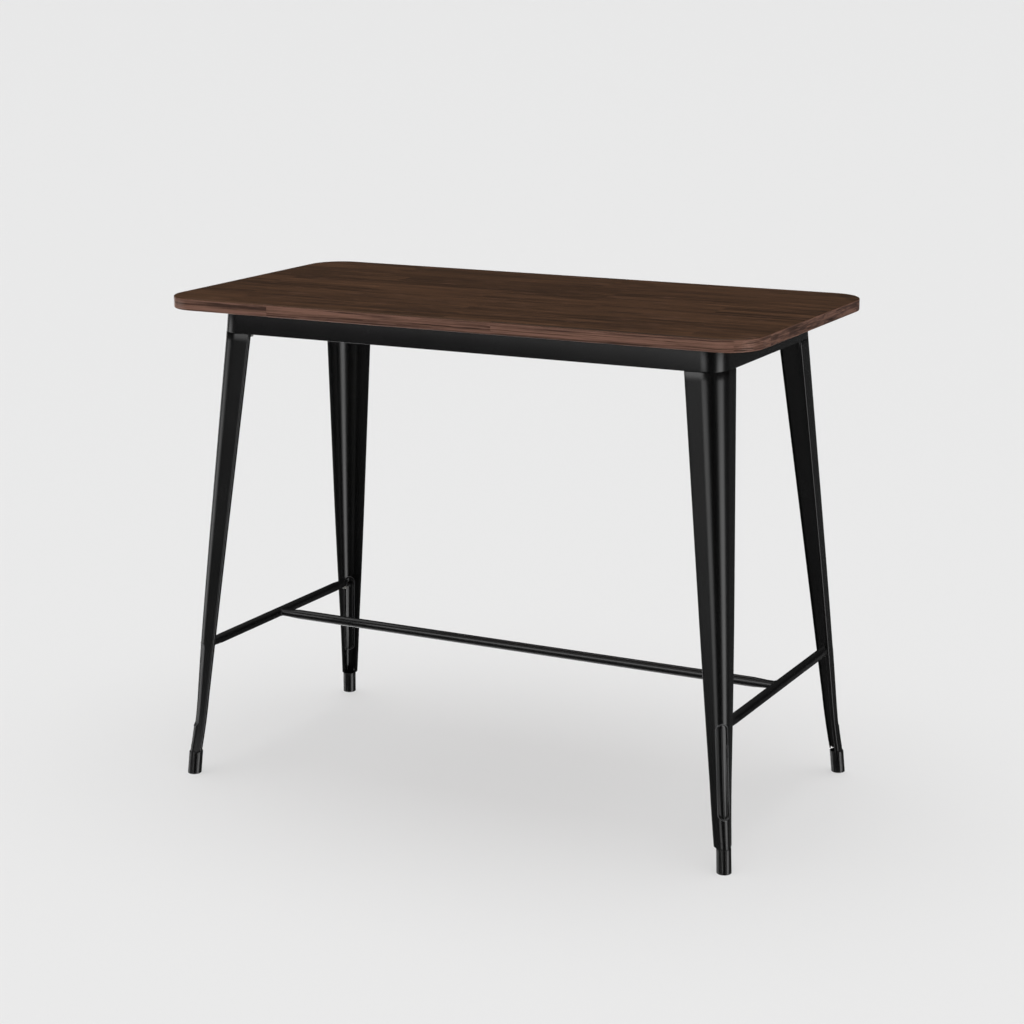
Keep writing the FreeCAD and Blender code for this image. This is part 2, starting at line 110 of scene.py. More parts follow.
# Bolts: height of the head, radius and pitch. Nuts: radius of the hole
BOLTS = {"leg_bolts": (0.0053, 0.004, 0.00125), "stretcher_bolts": (0.004, 0.003, 0.001)}
NUTS = {"leg_nuts": 0.0041, "stretcher_nuts": 0.0031}


class TopSettings(bpy.types.PropertyGroup):
    corner_radius: bpy.props.FloatProperty(
        name="Corner radius", description="Radius of the top's corners in plan", default=0.068, unit="LENGTH")
    edge_round: bpy.props.FloatProperty(
        name="Edge round", description="Radius of the top's edges", default=0.0025, unit="LENGTH")
    wood: bpy.props.FloatVectorProperty(
        name="Wood", description="Main colour of the stained wood", default=(0.0215, 0.0100, 0.0040), subtype="COLOR")
    pale_grain: bpy.props.FloatVectorProperty(
        name="Pale grain", description="Lighter wood between pores", default=(0.100, 0.048, 0.0235), subtype="COLOR")
    pores: bpy.props.FloatVectorProperty(
        name="Pores", description="Stain gathered in the pores", default=(0.0065, 0.0032, 0.0020), subtype="COLOR")
    edge: bpy.props.FloatVectorProperty(
        name="Edge", description="Paler stain on the board's edge", default=(0.115, 0.060, 0.043), subtype="COLOR")
    board_width: bpy.props.FloatProperty(
        name="Stave width", description="Width of the glued staves", default=0.086, unit="LENGTH")


class FrameSettings(bpy.types.PropertyGroup):
    coat: bpy.props.FloatVectorProperty(
        name="Coat", description="Colour of the powder coat", default=(0.0030, 0.0030, 0.0031), subtype="COLOR")
    # Colour of the painted highlight on the rim round each leg's pressing
    rim_highlight_colour: bpy.props.FloatVectorProperty(
        name="Rim highlight", description="Colour of the painted rim highlight", default=(0.075, 0.075, 0.077), subtype="COLOR")
    edge_break: bpy.props.FloatProperty(
        name="Edge break", description="Small round on the sheet's cut edges", default=0.0004, unit="LENGTH")
    recess_depth: bpy.props.FloatProperty(
        name="Recess depth", description="Depth of the pressing on each leg", default=0.0026, unit="LENGTH")
    rim: bpy.props.FloatProperty(
        name="Rim", description="Height of the raised rim round the pressing", default=0.0004, unit="LENGTH")
    ridge: bpy.props.FloatProperty(
        name="Ridge", description="Height of the ridge along the pressing", default=0.0009, unit="LENGTH")
    recess_slope: bpy.props.FloatProperty(
        name="Recess slope", description="Run of the pressing's end slopes", default=0.0090, unit="LENGTH")
    bend_round: bpy.props.FloatProperty(
        name="Bend round", description="Radius of the apron's bends", default=0.0016, unit="LENGTH")


class FootSettings(bpy.types.PropertyGroup):
    rubber: bpy.props.FloatVectorProperty(
        name="Rubber", description="Colour of the foot caps", default=(0.0035, 0.0035, 0.0035), subtype="COLOR")
    ribs: bpy.props.IntProperty(name="Ribs", description="Ribs round each foot cap", default=24, min=8)
    groove: bpy.props.FloatProperty(
        name="Groove", description="Depth between the ribs", default=0.0001, unit="LENGTH")


class StageSettings(bpy.types.PropertyGroup):
    floor: bpy.props.FloatVectorProperty(
        name="Floor", description="Colour of the floor", default=(0.80, 0.80, 0.80), subtype="COLOR")
    overhead: bpy.props.FloatProperty(
        name="Overhead light", description="Strength of the broad light overhead", default=0.52)
    fill: bpy.props.FloatProperty(
        name="Fill light", description="Strength of the light without shadows", default=2.36)
    boxes: bpy.props.FloatProperty(
        name="Soft boxes", description="Brightness of the boxes round the table", default=6.0)
    azimuth: bpy.props.FloatProperty(
        name="Azimuth", description="Turn of the camera from the front", default=math.radians(27.86), subtype="ANGLE")
    elevation: bpy.props.FloatProperty(
        name="Elevation", description="Height angle of the camera", default=math.radians(13.62), subtype="ANGLE")
    roll: bpy.props.FloatProperty(
        name="Roll", description="Tilt of the camera", default=math.radians(-0.32), subtype="ANGLE")
    distance: bpy.props.FloatProperty(
        name="Distance", description="Camera's distance from the table", default=4.42829, unit="LENGTH")
    lens: bpy.props.FloatProperty(name="Lens", description="Focal length", default=80.63, unit="CAMERA")


# Selecting and shaping

def make_active(obj):
    for other in list(bpy.context.selected_objects):
        other.select_set(False)
    obj.select_set(True)
    bpy.context.view_layer.objects.active = obj


def renamed(obj, name):
    obj.name = name
    obj.data.name = name
    return obj


def added(name, primitive, location=(0, 0, 0), **settings):
    """Adds a primitive, and fixes its place and size in its mesh."""
    primitive(location=location, **settings)
    obj = renamed(bpy.context.active_object, name)
    obj.data.materials.clear()
    bpy.ops.object.transform_apply(location=True, rotation=True, scale=True)
    return obj


def upright_cylinder(name, middle, radius, low, high, vertices):
    """Adds a cylinder between two heights."""
    return added(
        name, bpy.ops.mesh.primitive_cylinder_add, (middle.x, middle.y, (low + high) / 2), vertices=vertices,
        radius=radius, depth=high - low)


def edit(obj, elements="VERT", test=None):
    """Opens a mesh with the vertices, edges or faces selected that pass a test, or else with all of them."""
    make_active(obj)
    bpy.ops.object.mode_set(mode="EDIT")
    bpy.ops.mesh.select_mode(type=elements)
    bpy.ops.mesh.select_all(action="DESELECT" if test else "SELECT")
    if test:
        shape = bmesh.from_edit_mesh(obj.data)
        for element in getattr(shape, elements.lower() + "s"):
            if test(element):
                element.select_set(True)
        bmesh.update_edit_mesh(obj.data)


def leave_edit():
    bpy.ops.object.mode_set(mode="OBJECT")


def round_edges(obj, test, radius, segments):
    """Rounds the edges that pass a test."""
    edit(obj, "EDGE", test)
    bpy.ops.mesh.bevel(offset=radius, segments=segments, affect="EDGES")
    leave_edit()


def cut_ring(obj, point, normal):
    """Cuts a ring of edges right round a piece."""
    edit(obj)
    bpy.ops.mesh.bisect(plane_co=point, plane_no=normal)
    leave_edit()


def edge_middle(edge):
    return (edge.verts[0].co + edge.verts[1].co) / 2


def edge_run(edge):
    return edge.verts[1].co - edge.verts[0].co


def is_upright(edge):
    return abs(edge_run(edge).normalized().z) > ALONG


def is_level(edge):
    return abs(edge_run(edge).z) < 1e-6


def apply_modifier(obj, kind, **settings):
    """Adds a modifier with its settings and applies it."""
    make_active(obj)
    modifier = obj.modifiers.new(kind.title(), kind)
    for name, value in settings.items():
        setattr(modifier, name, value)
    bpy.ops.object.modifier_apply(modifier=modifier.name)


def break_edges(obj, width, degrees=50):
    """Rounds the edges sharper than an angle."""
    apply_modifier(
        obj, "BEVEL", width=width, segments=2, limit_method="ANGLE", angle_limit=math.radians(degrees))


def cut_away(obj, cutter):
    apply_modifier(obj, "BOOLEAN", operation="DIFFERENCE", object=cutter, solver="EXACT")
    bpy.data.objects.remove(cutter)


def smooth(obj, degrees=32):
    make_active(obj)
    bpy.ops.object.shade_smooth_by_angle(angle=math.radians(degrees))


def mend(obj, degrees):
    """Merges vertices that fell together, turns the normals outward and smooths."""
    obj.data.update()
    edit(obj)
    bpy.ops.mesh.remove_doubles(threshold=CLOSE)
    bpy.ops.mesh.normals_make_consistent(inside=False)
    leave_edit()
    smooth(obj, degrees)


def joined(name, pieces):
    make_active(pieces[0])
    for piece in pieces[1:]:
        piece.select_set(True)
    bpy.ops.object.join()
    return renamed(pieces[0], name)


def copied(source, name, matrix):
    """Copy with its own mesh, moved or mirrored in its mesh."""
    piece = source.copy()
    piece.data = source.data.copy()
    renamed(piece, name)
    bpy.context.scene.collection.objects.link(piece)
    piece.data.transform(matrix)
    if matrix.determinant() < 0:
        piece.data.flip_normals()
    return piece


def mirrored(source, name, side_x, side_y):
    return copied(source, name, Matrix.Diagonal((side_x, side_y, 1, 1)))


def settle(piece, finish, slot, *nodes):
    """Gives a piece its material, hangs it under the root empty and hides the CAD nodes it takes the place of."""
    piece.data.materials.clear()
    piece.data.materials.append(finish)
    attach(piece, "root")
    if nodes:
        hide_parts(*nodes)


def settle_in_corners(source, name, finish, slot, node):
    """Mirrors a piece from the back right corner into all four."""
    for corner, (side_x, side_y) in CORNERS.items():
        settle(mirrored(source, name + corner, side_x, side_y), finish, slot, node + corner)
    bpy.data.objects.remove(source)


def solids_of(node):
    """Boxes of the separate solids in one CAD node."""
    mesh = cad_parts[node].data
    places = [tuple(round(value, 6) for value in vertex.co) for vertex in mesh.vertices]
    solids = {place: [place] for place in places}
    for edge in mesh.edges:
        first, second = (solids[places[number]] for number in edge.vertices)
        if first is not second:
            first += second
            solids.update((place, first) for place in second)
    boxes = []
    for solid in {id(solid): solid for solid in solids.values()}.values():
        low = Vector([min(values) for values in zip(*solid)])
        high = Vector([max(values) for values in zip(*solid)])
        boxes.append((low, high))
    return boxes


def eased_copy(node, name, width):
    """Copy of a CAD node with merged faces and slightly round edges."""
    piece = copied(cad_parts[node], name, Matrix.Identity(4))
    piece.parent = None
    for key in list(piece.keys()):
        del piece[key]
    edit(piece)
    bpy.ops.mesh.remove_doubles(threshold=CLOSE)
    bpy.ops.mesh.dissolve_limited(angle_limit=math.radians(0.5))
    leave_edit()
    break_edges(piece, width, 40)
    smooth(piece)
    return piece


# Materials

def math_node(operation, swapped=False):
    """Method that adds a math node for its number, and for another where the operation takes two."""
    def method(number, *others):
        terms = (number, *others)
        sockets = dict(enumerate(reversed(terms) if swapped else terms))
        node = number.finish.node("ShaderNodeMath", {"operation": operation}, sockets)
        return Number(number.finish, node.outputs[0])
    return method


class Number:
    """A number in a material. Sums of such numbers add their own nodes."""

    def __init__(self, finish, socket):
        self.finish = finish
        self.socket = socket

    __add__ = __radd__ = math_node("ADD")
    __sub__ = math_node("SUBTRACT")
    __rsub__ = math_node("SUBTRACT", swapped=True)
    __mul__ = __rmul__ = math_node("MULTIPLY")
    __truediv__ = math_node("DIVIDE")
    __pow__ = math_node("POWER")
    floor = math_node("FLOOR")
    wave = math_node("SINE")
    size = math_node("ABSOLUTE")
    or_more = math_node("MAXIMUM")

    def between(self, low, high):
        """Smooth step from 0 at low to 1 at high."""
        settings = {"interpolation_type": "SMOOTHSTEP"}
        sockets = {"Value": self, "From Min": low, "From Max": high}
        return Number(self.finish, self.finish.node("ShaderNodeMapRange", settings, sockets).outputs["Result"])


class Finish:
    """One material, built node by node on the piece's own coordinates."""

    def __init__(self, name):
        self.material = bpy.data.materials.new(name)
        self.material.use_nodes = True
        self.tree = self.material.node_tree
        self.tree.nodes.clear()
        self.surface = self.tree.nodes.new("ShaderNodeBsdfPrincipled")
        output = self.tree.nodes.new("ShaderNodeOutputMaterial")
        self.tree.links.new(self.surface.outputs["BSDF"], output.inputs["Surface"])
        self.place = self.node("ShaderNodeTexCoord", {}, {}).outputs["Object"]

    def node(self, kind, settings, sockets):
        """Adds a node with its settings, then the values or links of its sockets."""
        node = self.tree.nodes.new(kind)
        for name, value in settings.items():
            setattr(node, name, value)
        for name, value in sockets.items():
            self.feed(node.inputs[name], value)
        return node

    def feed(self, socket, value):
        if isinstance(value, Number):
            self.tree.links.new(value.socket, socket)
        elif isinstance(value, bpy.types.NodeSocket):
            self.tree.links.new(value, socket)
        else:
            socket.default_value = value

    def set(self, **values):
        """Values or links on the surface itself, such as base_color or roughness."""
        for name, value in values.items():
            self.feed(self.surface.inputs[name.replace("_", " ").title().replace("Ior", "IOR")], value)

    def split(self, vector):
        outputs = self.node("ShaderNodeSeparateXYZ", {}, {"Vector": vector}).outputs
        return [Number(self, output) for output in outputs]

    def vector(self, x, y, z):
        return self.node("ShaderNodeCombineXYZ", {}, {"X": x, "Y": y, "Z": z}).outputs["Vector"]

    def noise(self, vector, scale=1.0, detail=3.0, roughness=0.5):
        sockets = {"Vector": vector, "Scale": scale, "Detail": detail, "Roughness": roughness}
        return Number(self, self.node("ShaderNodeTexNoise", {}, sockets).outputs["Fac"])

    def random(self, vector):
        return Number(self, self.node("ShaderNodeTexWhiteNoise", {}, {"Vector": vector}).outputs["Value"])

    def mix(self, share, first, second):
        node = self.node("ShaderNodeMix", {"data_type": "RGBA"}, {})
        self.feed(node.inputs[0], share)
        self.feed(node.inputs[6], first)
        self.feed(node.inputs[7], second)
        return node.outputs[2]

    def bump(self, height, distance, strength=1.0):
        sockets = {"Height": height, "Distance": distance, "Strength": strength}
        return self.node("ShaderNodeBump", {}, sockets).outputs["Normal"]


def opaque(colour, share=1.0):
    """Colour with its alpha, darkened or lightened by a share."""
    return (*(value * share for value in colour), 1.0)


def wood_finish():
    """Dark stained staves with streaks along X, open pores and pale edges, with a painted highlight along the top
    arris.
    """
    settings = bpy.context.scene.table_top
    wood = Finish("stained_wood")
    x, y, z = wood.split(wood.place)
    top = TOP_HIGH.z
    # Heights of the painted highlight band along the top arris
    arris_low, arris_full, arris_high = top - 0.0034, top - 0.0020, top - 0.0010
    on_edge = 1 - z.between(top - settings.edge_round, top - settings.edge_round * 0.2)
    painted_arris_highlight = z.between(arris_low, arris_full) * (1 - z.between(arris_high, top))
    stave = (y / settings.board_width + 0.37).floor()
    along = (x / 0.47 + wood.random(wood.vector(stave, 3.0, 1.0)) * 7.0).floor()
    tone = wood.random(wood.vector(stave, along, 5.0))
    shift = tone * 9.0
    # The grain runs along X, so every pattern is long that way and short across it
    y = y * (1 - on_edge * 0.88)
    drift = wood.noise(wood.vector(x * 1.8 + shift, y * 9.0, z * 9.0), detail=3.0)
    rings = ((y * 190.0 + z * 360.0 + drift * 34.0 + shift * 3.0).wave() * 0.5 + 0.5) ** 1.6
    broad = wood.noise(wood.vector(x * 2.2 + shift, y * 42.0, z * 110.0), detail=5.0, roughness=0.66)
    streaks = wood.noise(wood.vector(x * 3.2 + shift, y * 130.0, z * 300.0), detail=6.0, roughness=0.68)
    fine = wood.noise(wood.vector(x * 11.0 + shift, y * 520.0, z * 900.0), detail=4.0, roughness=0.62)
    lines = wood.noise(wood.vector(x * 3.4 - shift, y * 120.0, z * 330.0), detail=5.0, roughness=0.66)
    flecks = wood.noise(wood.vector(x * 15.0 + shift, y * 150.0, z * 420.0), detail=2.0).between(0.62, 0.70)
    pale = broad.between(0.40, 0.62) * 0.46 + streaks.between(0.42, 0.64) * 0.50 + rings * 0.16 + tone * 0.10
    pores = fine.between(0.52, 0.64) * 0.40 + lines.between(0.53, 0.64) * 0.72
    flat = wood.mix(pale, opaque(settings.wood), opaque(settings.pale_grain))
    # Edge colour made much lighter: for the edge's pale grain and flecks, and for the painted highlight on the arris
    bright = opaque(settings.edge, 2.5)
    edge = wood.mix((pale - 0.22) * 2.2, opaque(settings.edge, 0.68), bright)
    # Painted highlight: a lighter band along the top arris stands in for light caught by its round
    edge = wood.mix(painted_arris_highlight * 0.6, edge, bright)
    colour = wood.mix(on_edge, flat, edge)
    colour = wood.mix(pores * 0.95, colour, opaque(settings.pores))
    colour = wood.mix(flecks * (0.26 + on_edge * 0.30), colour, bright)
    height = streaks * 0.5 - pores * 0.6
    wood.set(
        base_color=colour,
        roughness=0.30 + streaks * 0.06 + pores * 0.08,
        specular_ior_level=0.10,
        normal=wood.bump(height, 0.00022, 0.7))
    return wood.material


def painted_rim_highlight(coat):
    """Painted highlight: 1 on the crest of the raised rim round each leg's pressing, where the coat's colour is
    lightened to stand in for light caught by the rim.
    """
    x, y, z = coat.split(coat.place)
    x, y = x.size(), y.size()
    low, run = recess_line()
    rise = run.normalized()
    across = x * SIDEWAYS.x + y * SIDEWAYS.y - low.dot(SIDEWAYS)
    along = x * rise.x + y * rise.y + z * rise.z - low.dot(rise)
    beyond = (along - run.length).or_more(0 - along).or_more(0.0)
    # The painted highlight is full within the first distance of the rim's crest and gone past the second
    highlight_core, highlight_fade = RIM_BEAD * 0.6, RIM_BEAD * 1.3
    from_crest = ((across * across + beyond * beyond) ** 0.5 - (RECESS_RADIUS - highlight_core)).size()
    return 1 - from_crest.between(highlight_core, highlight_fade)


def coat_finish(name):
    """Black powder coat: satin, faintly orange-peeled, with a little dust in its tone and a painted highlight on the
    rims of the legs' pressings.
    """
    settings = bpy.context.scene.table_frame
    coat = Finish(name)
    peel = coat.noise(coat.place, scale=900.0, detail=2.0)
    sweep = coat.noise(coat.place, scale=9.0, detail=3.0)
    dust = coat.noise(coat.place, scale=2600.0, detail=1.0).between(0.62, 0.76)
    dusty = sweep.between(0.35, 0.75) * 0.35 + dust * 0.25
    colour = coat.mix(dusty, opaque(settings.coat), opaque(settings.coat, 1.9))
    # Painted highlight: lightens the coat along the pressing rims to stand in for light caught there
    colour = coat.mix(painted_rim_highlight(coat) * 0.9, colour, opaque(settings.rim_highlight_colour))
    coat.set(
        base_color=colour,
        roughness=0.21 + sweep * 0.06 + peel * 0.04,
        specular_ior_level=0.28,
        normal=coat.bump(peel, 0.00006, 0.5))
    return coat.material


def rubber_finish():
    """Moulded black rubber, matt, with faint mottling."""
    settings = bpy.context.scene.table_foot
    rubber = Finish("black_rubber")
    grain = rubber.noise(rubber.place, scale=1400.0, detail=3.0)
    cloud = rubber.noise(rubber.place, scale=60.0, detail=2.0)
    rubber.set(
        base_color=rubber.mix(cloud * 0.6, opaque(settings.rubber), opaque(settings.rubber, 1.5)),
        roughness=0.22 + grain * 0.08,
        specular_ior_level=0.26,
        normal=rubber.bump(grain, 0.00008, 0.6))
    return rubber.material


def zinc_finish():
    """Zinc-plated steel with soft blotches and turning marks."""
    zinc = Finish("zinc_steel")
    cloud = zinc.noise(zinc.place, scale=240.0, detail=4.0)
    stretched = zinc.node("ShaderNodeMapping", {}, {"Vector": zinc.place, "Scale": (300.0, 300.0, 5000.0)})
    scratch = zinc.noise(stretched.outputs["Vector"], detail=3.0)
    zinc.set(
        base_color=zinc.mix(cloud, opaque((0.42, 0.42, 0.40)), opaque((0.66, 0.65, 0.60))),
        metallic=1.0,
        roughness=0.28 + cloud * 0.20,
        normal=zinc.bump(scratch, 0.00002, 0.4))
    return zinc.material


# Shape of the leg

def leg_measures(z):
    """Corner, wing length, nose radius and closing angle of the leg at a height."""
    drop = CORNER.z - z
    closing = 0.0
    if z < WAIST:
        closing = CLOSING_AT_KNEE * ((WAIST - z) / (WAIST - KNEE)) ** 2
    spread = 0.0
    if z >= KNEE:
        share = drop / (CORNER.z - KNEE)
        wing = WING_TOP + (WING_KNEE - WING_TOP) * share
        nose = NOSE_TOP + (NOSE_KNEE - NOSE_TOP) * share
    else:
        share = (KNEE - z) / (KNEE - SHOULDER)
        wing = WING_KNEE + (WING_SHOULDER - WING_KNEE) * share
        nose = NOSE_KNEE + (NOSE_SHOULDER - NOSE_KNEE) * share
        spread = FLARE * share ** 2
    place = Vector((CORNER.x, CORNER.y, z)) + SPLAY * drop + Vector((spread, spread, 0))
    return place, wing, nose, closing


def nose_centre(z):
    place, _, nose, closing = leg_measures(z)
    return place - OUTWARD * (nose / math.sin(math.pi / 4 - closing))


def nose_line(z):
    return nose_centre(z) + OUTWARD * leg_measures(z)[2]


def recess_line():
    """Middle of the pressing's round lower end, and the way from there to that of its upper end."""
    low = nose_line(RECESS_LOW + RECESS_RADIUS)
    return low, nose_line(RECESS_HIGH - RECESS_RADIUS) - low


def wing_points(place, wing, start, along, across):
    """Outer face of one wing past the nose, to the tip of its lip."""
    flat_end = wing - LIP_BEND
    shares = [(number / WING_STEPS) ** 1.5 for number in range(1, WING_STEPS + 1)]
    points = [place + along * (start + (flat_end - start) * share) for share in shares]
    centre = place + along * flat_end + across * LIP_BEND
    for number in range(1, BEND_STEPS + 1):
        turn = math.pi / 2 * number / BEND_STEPS
        points.append(centre - across * (LIP_BEND * math.cos(turn)) + along * (LIP_BEND * math.sin(turn)))
    for number in range(1, LIP_STEPS + 1):
        reach = LIP_BEND + (LIP_LENGTH - LIP_BEND) * number / LIP_STEPS
        points.append(place + along * wing + across * reach)
    return points


def nose_columns(z, tangent):
    """How far each column lies from the middle: kept to the pressing's rim low down, even round the nose above."""
    _, _, nose, closing = leg_measures(z)
    last = NOSE_COLUMNS[-1] / 1000
    even = smooth_step((z - EVEN_FROM) / EVEN_RUN)
    columns = []
    for number, column in enumerate(NOSE_COLUMNS):
        near = column / 1000
        if near > RECESS_RADIUS:
            near += (near - RECESS_RADIUS) / (last - RECESS_RADIUS) * max(tangent - last, 0.0)
        far = nose * math.sin((math.pi / 4 + closing) * number / (len(NOSE_COLUMNS) - 1))
        columns.append(near + (far - near) * even)
    return columns


def section_points(z):
    """Outer face of the leg's section, from the tip of the back lip to the tip of the end lip."""
    place, wing, nose, closing = leg_measures(z)
    cos, sin = math.cos(closing), math.sin(closing)
    widening = math.cos(math.pi / 4 + closing)
    tangent = nose * math.sin(math.pi / 4 + closing)
    columns = nose_columns(z, tangent)
    start = columns[-1] / widening
    back_wing = (1, Vector((-cos, -sin, 0)), Vector((sin, -cos, 0)))
    end_wing = (-1, Vector((-sin, -cos, 0)), Vector((-cos, sin, 0)))
    sides = []
    for turn, along, across in (back_wing, end_wing):
        points = []
        for column in columns:
            if column < tangent:
                angle = math.asin(column / nose) * turn
                points.append(nose_centre(z) + (OUTWARD * math.cos(angle) + SIDEWAYS * math.sin(angle)) * nose)
            else:
                points.append(place + along * (column / widening))
        sides.append(points + wing_points(place, wing, start, along, across))
    back, end = sides
    return back[::-1] + end[1:]


def raised_shoulder(points, z):
    """Lowest height of each column of the blank, rounded up towards the free edges."""
    place, wing, _, closing = leg_measures(z)
    start = wing * (math.cos(closing) - math.sin(closing)) / math.sqrt(2) - SHOULDER_ROUND
    heights = []
    for point in points:
        past = min(max(abs((point - place).dot(SIDEWAYS)) - start, 0.0), SHOULDER_ROUND)
        heights.append(SHOULDER_ROUND - math.sqrt(SHOULDER_ROUND ** 2 - past ** 2))
    return heights


def smooth_step(value):
    value = min(max(value, 0.0), 1.0)
    return value * value * (3 - 2 * value)


def pressed(point):
    """Point of the leg after the pressing: a round-ended dish with a raised rim and a low ridge along its floor."""
    settings = bpy.context.scene.table_frame
    low, run = recess_line()
    across = (point - low).dot(SIDEWAYS)
    along = (point - low).dot(run.normalized())
    beyond = max(-along, along - run.length, 0.0)
    from_rim = RECESS_RADIUS - 2 * RIM_BEAD - math.hypot(across, beyond)
    if from_rim < -2 * RIM_BEAD:
        return point
    inward = (nose_centre(point.z) - point).normalized()
    if from_rim <= 0:
        return point - inward * (settings.rim * (1 - smooth_step(abs(from_rim + RIM_BEAD) / RIM_BEAD)))
    from_end = min(along, run.length - along) + RECESS_RADIUS
    slope = 0.5 + 0.5 * smooth_step(from_end / settings.recess_slope)
    ridge = (1 - smooth_step(abs(across) / RIDGE_HALF)) * smooth_step((from_rim - RIM_RUN) / RIDGE_FADE)
    depth = settings.recess_depth * smooth_step(from_rim / RIM_RUN) * slope
    return point + inward * (depth - settings.ridge * ridge)


def thickened(sheet, outer_point, **settings):
    """Turns a sheet's faces outward, judged at an outer point, and thickens it inward."""
    sheet.data.update()
    nearest = min(sheet.data.polygons, key=lambda face: (face.center - outer_point).length)
    if nearest.normal.dot(OUTWARD) < 0:
        sheet.data.flip_normals()
    apply_modifier(sheet, "SOLIDIFY", thickness=SHEET, offset=-1, **settings)


def row_heights():
    heights = [ROW_SPANS[0][0]]
    for low, high, count in ROW_SPANS:
        heights += [low + (high - low) * (number + 1) / count for number in range(count)]
    return heights


def pressed_leg():
    """Flat blank bent to the leg's section at each height, pressed, then thickened inward."""
    heights = row_heights()
    columns = len(section_points(KNEE))
    leg = added(
        "leg_sheet", bpy.ops.mesh.primitive_grid_add, x_subdivisions=columns - 1, y_subdivisions=len(heights) - 1,
        size=2)
    rise = raised_shoulder(section_points(SHOULDER), SHOULDER)
    rows = [section_points(z) for z in heights]
    for vertex in leg.data.vertices:
        column = round((vertex.co.x + 1) / 2 * (columns - 1))
        row = round((vertex.co.y + 1) / 2 * (len(heights) - 1))
        z = heights[row]
        point = rows[row][column]
        lift = rise[column] * max(0.0, 1 - (z - SHOULDER) / SHOULDER_REACH)
        if lift > 0:
            point = section_points(z + lift)[column]
        vertex.co = pressed(point)
    thickened(leg, nose_line(WAIST))
    cut_notch(leg)
    break_edges(leg, bpy.context.scene.table_frame.edge_break, 70)
    smooth(leg, 60)
    return leg


def cut_notch(leg):
    """Passage through the end wing's lip for the pinched end of the stretcher."""
    room = 0.0004
    size = Vector((PINCH_WIDTH + room, 2 * WING_KNEE, PINCH_HEIGHT + room))
    middle = Vector((TUBE_PLACE.x, TUBE_HIGH.y - PINCH_WIDTH / 2 - size.y / 2, TUBE_PLACE.z))
    cut_away(leg, added("notch", bpy.ops.mesh.primitive_cube_add, middle, size=1, scale=size))


def foot_centre(z):
    drop = SHOULDER - z
    return nose_centre(SHOULDER) + SPLAY * drop - UP * drop


def foot_tongue():
    """Half-round lower end of the leg inside the rubber foot."""
    tongue = added("tongue", bpy.ops.mesh.primitive_grid_add, x_subdivisions=24, y_subdivisions=6, size=2)
    for vertex in tongue.data.vertices:
        turn = vertex.co.x * math.pi / 2
        z = TONGUE_LOW + (TONGUE_TOP - TONGUE_LOW) * (vertex.co.y + 1) / 2
        outward = OUTWARD * math.cos(turn) - SIDEWAYS * math.sin(turn)
        vertex.co = foot_centre(z) + outward * TONGUE_RADIUS
    thickened(tongue, foot_centre(TONGUE_TOP) + OUTWARD * TONGUE_RADIUS, use_even_offset=True)
    smooth(tongue)
    return tongue


class TABLE_OT_legs(bpy.types.Operator):
    """Makes the four pressed legs"""
    bl_idname = "table.legs"
    bl_label = "Legs"

    def execute(self, context):
        leg = joined("leg", [pressed_leg(), foot_tongue()])
        settle_in_corners(leg, "pressed_leg_", coat_finish("black_coat_legs"), "black_metal", "leg_")
        return {"FINISHED"}


class TABLE_OT_feet(bpy.types.Operator):
    """Makes the four ribbed rubber feet"""
    bl_idname = "table.feet"
    bl_label = "Rubber feet"

    def execute(self, context):
        settings = context.scene.table_foot
        radius, wall, floor_thickness, ease = 0.0135, 0.002, 0.006, 0.0015
        foot = upright_cylinder("foot", Vector(), radius, 0, CAP_HIGH, settings.ribs * 4)
        edit(foot, "FACE", lambda face: face.normal.z > ALONG)
        bpy.ops.mesh.inset(thickness=wall)
        bpy.ops.mesh.extrude_region_move(TRANSFORM_OT_translate={"value": (0, 0, floor_thickness - CAP_HIGH)})
        leave_edit()
        for level, size in ((0, ease), (CAP_HIGH, ease / 2)):
            round_edges(
                foot, lambda edge: is_level(edge) and edge_middle(edge).xy.length > radius - wall / 4
                and abs(edge_middle(edge).z - level) < CLOSE, size, 4)
        self.add_ribs(foot, settings, radius)
        for vertex in foot.data.vertices:
            vertex.co.xy += foot_centre(vertex.co.z).xy
        foot.data.update()
        smooth(foot, 40)
        settle_in_corners(foot, "rubber_foot_", rubber_finish(), "black_rubber", "foot_cap_")
        return {"FINISHED"}

    def add_ribs(self, foot, settings, radius):
        """Sinks every other strip of the side a little, between its rounded ends."""
        step = 360 / (settings.ribs * 4)
        run_out = 0.0003

        def is_groove(face):
            middle = face.calc_center_median()
            turn = math.degrees(math.atan2(middle.y, middle.x))
            return (abs(face.normal.z) < 0.1 and middle.xy.length > radius * 0.97
                    and round(turn / step - 0.5) % 4 in (0, 1))

        edit(foot, "FACE", is_groove)
        bpy.ops.mesh.inset(thickness=run_out)
        bpy.ops.transform.shrink_fatten(value=-settings.groove)
        leave_edit()


class TABLE_OT_tabletop(bpy.types.Operator):
    """Makes the wooden top with round corners and edges"""
    bl_idname = "table.tabletop"
    bl_label = "Wooden top"

    def execute(self, context):
        settings = context.scene.table_top
        board = added(
            "wooden_top", bpy.ops.mesh.primitive_cube_add, (TOP_LOW + TOP_HIGH) / 2, size=1, scale=TOP_HIGH - TOP_LOW)
        round_edges(board, is_upright, settings.corner_radius, 24)
        round_edges(board, is_level, settings.edge_round, 5)
        smooth(board)
        settle(board, wood_finish(), "stained_wood", "tabletop")
        return {"FINISHED"}


